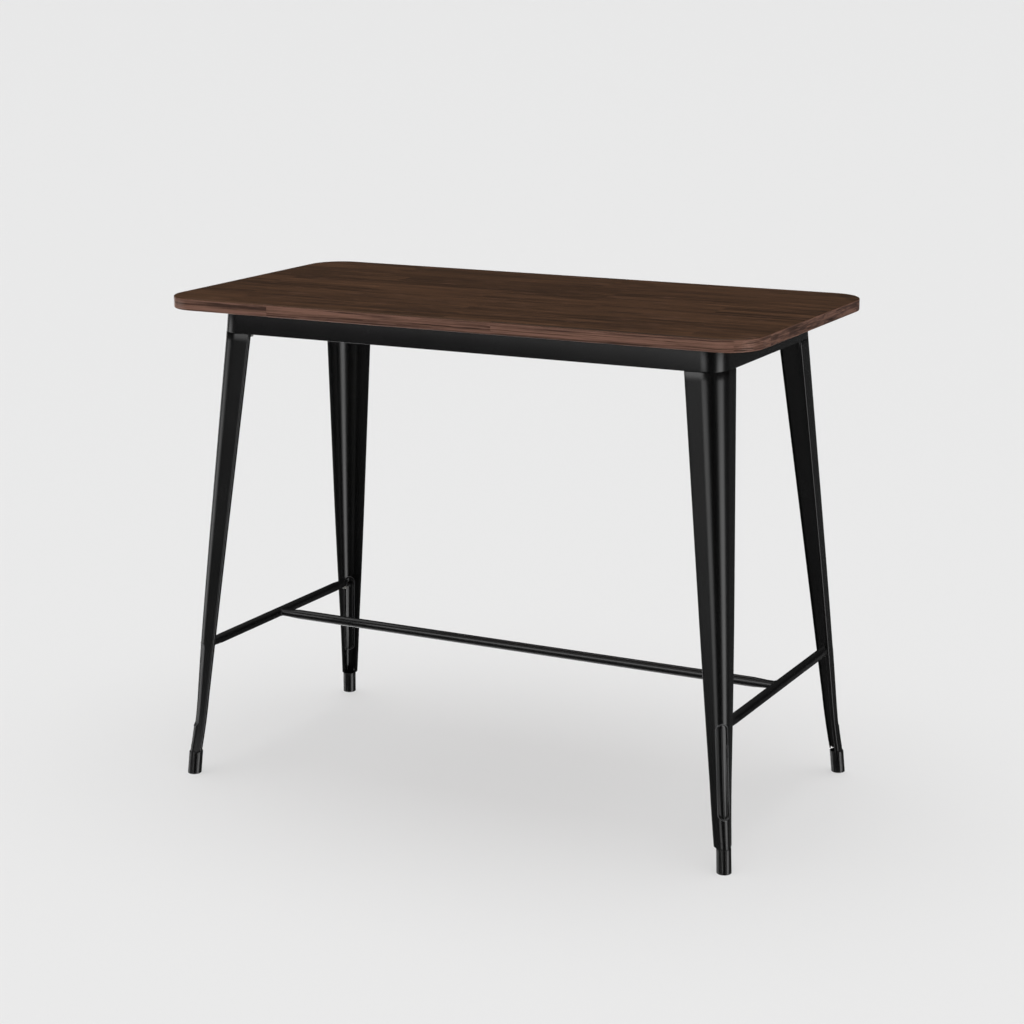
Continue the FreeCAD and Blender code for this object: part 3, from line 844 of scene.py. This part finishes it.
class TABLE_OT_apron(bpy.types.Operator):
    """Makes the bent sheet ring under the top"""
    bl_idname = "table.apron"
    bl_label = "Apron"

    def execute(self, context):
        settings = context.scene.table_frame
        size = APRON_HIGH - APRON_LOW
        draft = SPLAY * size.z
        hem, flange = 0.012, 0.025
        apron = added(
            "bent_apron", bpy.ops.mesh.primitive_cube_add, (APRON_LOW + APRON_HIGH) / 2, size=1, scale=size)
        round_edges(apron, is_upright, NOSE_TOP, 16)
        for side_x, side_y in CORNERS.values():
            edit(apron, "VERT", lambda vertex: vertex.co.z > APRON_HIGH.z - CLOSE
                 and vertex.co.x * side_x > 0 and vertex.co.y * side_y > 0)
            bpy.ops.transform.translate(value=(-draft.x * side_x, -draft.y * side_y, 0))
            leave_edit()
        for facing, width in ((1, flange), (-1, hem)):
            edit(apron, "FACE", lambda face: face.normal.z * facing > ALONG)
            bpy.ops.mesh.inset(thickness=width)
            bpy.ops.mesh.delete(type="FACE")
            leave_edit()
        round_edges(
            apron, lambda edge: is_level(edge) and len(edge.link_faces) == 2
            and abs(edge.link_faces[0].normal.z - edge.link_faces[1].normal.z) > 0.5, settings.bend_round, 4)
        apply_modifier(apron, "SOLIDIFY", thickness=SHEET, offset=-1, use_even_offset=True)
        break_edges(apron, settings.edge_break)
        smooth(apron)
        settle(apron, coat_finish("black_coat_apron"), "black_metal", "apron_frame")
        return {"FINISHED"}


def soft_clip(value, limit):
    """Value held below a limit, with a soft corner."""
    sharpness = 7
    share = abs(value) / limit
    return math.copysign(limit * share / (1 + share ** sharpness) ** (1 / sharpness), value)


def squeezed(value, from_tip, pinched):
    """Place across a round tube after the squeeze, at a distance from its pinched end."""
    share = smooth_step((from_tip - PINCH_FLAT) / (PINCH_LENGTH - PINCH_FLAT))
    half = pinched / 2 + (TUBE_RADIUS - pinched / 2) * share
    return value if half > TUBE_RADIUS * 0.999 else soft_clip(value, half)


def squeeze_places():
    """Distances from a tube's tip of the rings between the flat and the round."""
    steps = 8
    return [PINCH_FLAT + (PINCH_LENGTH - PINCH_FLAT) * number / steps for number in range(steps + 1)]


def ringed_tube(name, middle, half, rotation, normal, places):
    """Adds a tube with rings of edges at distances from both its tips."""
    tube = added(
        name, bpy.ops.mesh.primitive_cylinder_add, middle, vertices=48, radius=TUBE_RADIUS, depth=2 * half,
        rotation=rotation)
    for side in (-1, 1):
        for place in places:
            cut_ring(tube, normal * (side * (half - place)), normal)
    return tube


class TABLE_OT_end_stretchers(bpy.types.Operator):
    """Makes the two tubes between the legs of each end"""
    bl_idname = "table.end_stretchers"
    bl_label = "End stretchers"

    def execute(self, context):
        half = TUBE_HIGH.y
        finish = coat_finish("black_coat_tubes")
        tip = PINCH_WIDTH / 2
        tip_steps = 10
        places = [tip * (1 - math.cos(math.pi / 2 * number / tip_steps)) for number in range(1, tip_steps + 1)]
        places += [PINCH_FLAT * 0.7, *squeeze_places()]
        tube = ringed_tube("tube", TUBE_PLACE, half, (math.pi / 2, 0, 0), Vector((0, 1, 0)), places)
        for vertex in tube.data.vertices:
            from_tip = half - abs(vertex.co.y)
            offset = vertex.co - TUBE_PLACE
            narrowing = math.sqrt(max(tip ** 2 - max(tip - from_tip, 0.0) ** 2, 1e-9)) / tip
            across = squeezed(offset.x, from_tip, PINCH_WIDTH) * narrowing
            rise = squeezed(offset.z, from_tip, PINCH_HEIGHT)
            vertex.co = TUBE_PLACE + Vector((across, offset.y, rise))
        mend(tube, 50)
        for name, side in ENDS.items():
            piece = mirrored(tube, "round_end_stretcher_" + name, side, 1)
            settle(piece, finish, "black_metal", "end_stretcher_" + name)
        bpy.data.objects.remove(tube)
        return {"FINISHED"}


class TABLE_OT_centre_stretcher(bpy.types.Operator):
    """Makes the long tube and the weld beads at its ends"""
    bl_idname = "table.centre_stretcher"
    bl_label = "Centre stretcher"

    def execute(self, context):
        half, gap = TUBE_PLACE.x, 0.0002
        finish = coat_finish("black_coat_centre")
        tube = ringed_tube(
            "round_centre_stretcher", UP * TUBE_PLACE.z, half, (0, math.pi / 2, 0), Vector((1, 0, 0)),
            squeeze_places())
        for vertex in tube.data.vertices:
            from_tip = half - abs(vertex.co.x)
            rise = squeezed(vertex.co.z - TUBE_PLACE.z, from_tip, PINCH_HEIGHT)
            x = vertex.co.x
            if from_tip < CLOSE:
                x = math.copysign(half - math.sqrt((TUBE_RADIUS + gap) ** 2 - rise ** 2), x)
            vertex.co = Vector((x, vertex.co.y, TUBE_PLACE.z + rise))
        mend(tube, 50)
        settle(tube, finish, "black_metal", "centre_stretcher")
        for name, side in ENDS.items():
            settle(self.weld_bead(name, side, half), finish, "black_metal")
        return {"FINISHED"}

    def weld_bead(self, name, side, half):
        """Rippled bead round the joint, following the end stretcher's round side."""
        thickness, ripples, swing, sunk = 0.0013, 31, 0.14, 0.0004
        bead = added(
            "weld_bead_" + name, bpy.ops.mesh.primitive_torus_add, major_segments=72, minor_segments=10,
            major_radius=TUBE_RADIUS, minor_radius=thickness)
        for vertex in bead.data.vertices:
            turn = math.atan2(vertex.co.y, vertex.co.x)
            ripple = 1 + swing * math.sin(turn * ripples)
            out = (vertex.co.xy.length - TUBE_RADIUS) * ripple
            depth = vertex.co.z * ripple
            cos, sin = math.cos(turn), math.sin(turn)
            rise = soft_clip(sin * TUBE_RADIUS, PINCH_HEIGHT / 2)
            start = half - math.sqrt(TUBE_RADIUS ** 2 - rise ** 2)
            place = Vector((start, cos * TUBE_RADIUS, TUBE_PLACE.z + rise)) + Vector((0, cos, sin)) * out
            vertex.co = ((place.x - depth - sunk) * side, place.y, place.z)
        mend(bead, 60)
        return bead


class TABLE_OT_plates(bpy.types.Operator):
    """Eases the edges of the hidden plates, bars and seats"""
    bl_idname = "table.plates"
    bl_label = "Plates and bars"

    def execute(self, context):
        finish = coat_finish("black_coat_plates")
        names = ["cross_bar_left", "cross_bar_right"]
        for corner in CORNERS:
            names += ["leg_top_plate_" + corner, "corner_gusset_" + corner, "stretcher_seat_" + corner]
        for name in names:
            piece = eased_copy(name, "eased_" + name, context.scene.table_frame.edge_break)
            settle(piece, finish, "black_metal", name)
        return {"FINISHED"}


def hexagon(name, middle, flats, low, high, ends):
    """Hexagonal head or nut with chamfered corners below (-1), above (1) or at both ends (0)."""
    body = upright_cylinder(name, middle, flats / math.sqrt(3), low, high, 6)
    edit(body, "VERT", lambda vertex: (vertex.co.z > (low + high) / 2) == (ends > 0) or ends == 0)
    bpy.ops.mesh.bevel(offset=flats * 0.06, segments=1, affect="VERTICES")
    leave_edit()
    return body


def threaded_rod(middle, radius, low, high, pitch):
    """Shank whose rings are drawn in and out for the thread."""
    root = 0.88
    shank = upright_cylinder("shank", middle, radius, low, high, 20)
    count = int((high - low) / (pitch / 2))
    for number in range(1, count):
        cut_ring(shank, (0, 0, low + (high - low) * number / count), (0, 0, 1))
    for vertex in shank.data.vertices:
        ring = round((vertex.co.z - low) / (high - low) * count)
        if ring % 2:
            vertex.co.xy = middle.xy + (vertex.co.xy - middle.xy) * root
    shank.data.update()
    return shank


class TABLE_OT_fasteners(bpy.types.Operator):
    """Makes the bolts, nuts and screws"""
    bl_idname = "table.fasteners"
    bl_label = "Bolts, nuts and screws"

    def execute(self, context):
        finish = zinc_finish()
        for node, sizes in BOLTS.items():
            self.repeat(node, lambda low, high: self.bolt(low, high, *sizes), finish)
        for node, hole in NUTS.items():
            self.repeat(node, lambda low, high: self.nut(low, high, hole), finish)
        self.repeat("top_screws", self.screw, finish)
        return {"FINISHED"}

    def repeat(self, node, make, finish):
        """Models the first of a node's solids and copies it to the places of the others."""
        boxes = solids_of(node)
        first = make(*boxes[0])
        start = (boxes[0][0] + boxes[0][1]) / 2
        shifts = [(low + high) / 2 - start for low, high in boxes[1:]]
        copies = [copied(first, node, Matrix.Translation(shift)) for shift in shifts]
        piece = joined("turned_" + node, [first, *copies])
        smooth(piece)
        settle(piece, finish, "zinc_steel", node)

    def bolt(self, low, high, head, radius, pitch):
        middle = (low + high) / 2
        body = hexagon("bolt", middle, high.y - low.y, low.z, low.z + head, -1)
        shank = threaded_rod(middle, radius, low.z + head, high.z, pitch)
        return joined("bolt", [body, shank])

    def nut(self, low, high, hole):
        middle = (low + high) / 2
        body = hexagon("nut", middle, high.y - low.y, low.z, high.z, 0)
        cut_away(body, upright_cylinder("drill", middle, hole, 2 * low.z - high.z, 2 * high.z - low.z, 20))
        return body

    def screw(self, low, high):
        """Pan head with a cross recess, and a tapping shank with a point."""
        middle = (low + high) / 2
        head_height, shank_radius, pitch = 0.003, 0.0022, 0.0016
        radius = (high.x - low.x) / 2
        head = upright_cylinder("screw", middle, radius, low.z, low.z + head_height, 28)
        round_edges(
            head, lambda edge: is_level(edge) and edge_middle(edge).z < low.z + CLOSE, head_height * 0.55, 5)
        for turn in (0, math.pi / 2):
            cut_away(head, added(
                "slot", bpy.ops.mesh.primitive_cube_add, (middle.x, middle.y, low.z), size=1,
                scale=(radius * 1.1, radius * 0.22, head_height * 1.1), rotation=(0, 0, turn)))
        shank = threaded_rod(middle, shank_radius, low.z + head_height * 0.9, high.z, pitch)
        edit(shank, "FACE", lambda face: face.normal.z > ALONG and face.calc_center_median().z > high.z - CLOSE)
        bpy.ops.transform.resize(value=(0.2, 0.2, 1))
        leave_edit()
        return joined("screw", [head, shank])


# Stage

class Studio(Finish):
    """What shines on the table and shows in its coat, by direction."""

    def __init__(self, world):
        world.use_nodes = True
        self.tree = world.node_tree
        self.tree.nodes.clear()
        self.place = self.node("ShaderNodeTexCoord", {}, {}).outputs["Generated"]

    def band(self, *degrees):
        """Upright soft box by azimuth, half width and softness: 1 inside it, and 0 past its soft sides."""
        azimuth, half_width, softness = map(math.radians, degrees)
        x, y = self.split(self.place)[:2]
        across = (x * x + y * y + 0.0001) ** 0.5
        towards = (x * math.sin(azimuth) - y * math.cos(azimuth)) / across
        return towards.between(math.cos(half_width + softness), math.cos(half_width - softness))

    def background(self, strength):
        return self.node("ShaderNodeBackground", {}, {"Strength": strength}).outputs["Background"]

    def blend(self, share, first, second):
        return self.node("ShaderNodeMixShader", {}, {0: share, 1: first, 2: second}).outputs["Shader"]


class TABLE_OT_stage(bpy.types.Operator):
    """Sets the pale floor, the studio light and the camera"""
    bl_idname = "table.stage"
    bl_label = "Stage"

    def execute(self, context):
        settings = context.scene.table_stage
        floor = added("floor", bpy.ops.mesh.primitive_circle_add, vertices=96, radius=800, fill_type="NGON")
        paper = Finish("floor_paper")
        paper.set(base_color=opaque(settings.floor), roughness=0.9, specular_ior_level=0.1)
        floor.data.materials.append(paper.material)
        floor.visible_glossy = False
        self.light(settings)
        self.camera(context, settings)
        context.scene.view_settings.view_transform = "Standard"
        return {"FINISHED"}

    def light(self, settings):
        """Broad soft light overhead, a fill without shadows, and soft boxes round the table for its coat.

        Heights in the world are sines of the angle above the level.
        """
        for name, strength, spread, shadows in (
                ("overhead", settings.overhead, 60, True), ("fill", settings.fill, 80, False)):
            bpy.ops.object.light_add(type="SUN", location=(0, 0, 4))
            lamp = bpy.context.active_object
            lamp.name = name
            lamp.data.energy = strength
            lamp.data.angle = math.radians(spread)
            lamp.data.use_shadow = shadows
        world = bpy.data.worlds.new("studio")
        studio = Studio(world)
        height = studio.split(studio.place)[2]
        # Bands by azimuth, half width and softness, in degrees
        gap = studio.band(38, 22, 10) + studio.band(218, 22, 10) + studio.band(148, 22, 8) * 0.3
        front = studio.band(-3, 12, 5) * height.between(-0.33, 0.0) + studio.band(83, 14, 7) * 1.15
        front = front * (1 - height.between(0.0, 0.12))
        back = (studio.band(228, 10, 6) + studio.band(284, 12, 7)) * (0.5 - height.between(-0.07, 0.0) * 0.5)
        tall = studio.band(-23, 14, 6) * height.between(0.07, 0.16) * (1 - height.between(0.45, 0.60))
        low = (1 - gap) * 0.15 + 0.03
        high = height.between(0.2, 0.8) * 0.16 + 0.03
        share = height.between(-0.04, 0.03)
        in_coat = low * (1 - share) + high * share + (front + back + tall) * settings.boxes
        path = studio.node("ShaderNodeLightPath", {}, {}).outputs
        lit = studio.blend(path["Is Glossy Ray"], studio.background(high), studio.background(in_coat))
        seen = studio.blend(path["Is Camera Ray"], lit, studio.background(1.01))
        studio.node("ShaderNodeOutputWorld", {}, {"Surface": seen})
        world.cycles.sampling_method = "NONE"
        bpy.context.scene.world = world

    def camera(self, context, settings):
        bpy.ops.object.camera_add()
        camera = context.active_object
        camera.name = "camera"
        camera.data.lens = settings.lens
        camera.data.sensor_width = 36
        turn, rise = settings.azimuth, settings.elevation
        back = Vector((math.sin(turn) * math.cos(rise), -math.cos(turn) * math.cos(rise), math.sin(rise)))
        right = UP.cross(back).normalized()
        facing = Matrix((right, back.cross(right), back)).transposed().to_4x4()
        aim = Vector((-0.00414, -0.00252, 0.530))
        place = Matrix.Translation(aim + back * settings.distance)
        camera.matrix_world = place @ facing @ Matrix.Rotation(settings.roll, 4, "Z")
        context.scene.camera = camera


class TABLE_PT_panel(bpy.types.Panel):
    bl_idname = "TABLE_PT_panel"
    bl_label = "High table"
    bl_space_type = "VIEW_3D"
    bl_region_type = "UI"
    bl_category = "Table"

    def draw(self, context):
        for step in STEPS:
            self.layout.operator(step.bl_idname)
        for name in GROUPS:
            group = getattr(context.scene, name)
            box = self.layout.box()
            for prop in group.bl_rna.properties:
                if prop.identifier not in ("rna_type", "name"):
                    box.prop(group, prop.identifier)


GROUPS = {
    "table_top": TopSettings, "table_frame": FrameSettings, "table_foot": FootSettings, "table_stage": StageSettings}
STEPS = (
    TABLE_OT_stage, TABLE_OT_tabletop, TABLE_OT_apron, TABLE_OT_legs, TABLE_OT_feet, TABLE_OT_end_stretchers,
    TABLE_OT_centre_stretcher, TABLE_OT_plates, TABLE_OT_fasteners)


def register():
    for name, group in GROUPS.items():
        bpy.utils.register_class(group)
        setattr(bpy.types.Scene, name, bpy.props.PointerProperty(type=group))
    for step in STEPS:
        bpy.utils.register_class(step)
    bpy.utils.register_class(TABLE_PT_panel)


def unregister():
    bpy.utils.unregister_class(TABLE_PT_panel)
    for step in reversed(STEPS):
        bpy.utils.unregister_class(step)
    for name, group in reversed(GROUPS.items()):
        delattr(bpy.types.Scene, name)
        bpy.utils.unregister_class(group)


def main():
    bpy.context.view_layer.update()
    register()
    for step in STEPS:
        group, action = step.bl_idname.split(".")
        getattr(getattr(bpy.ops, group), action)()


if __name__ == "__main__":
    main()
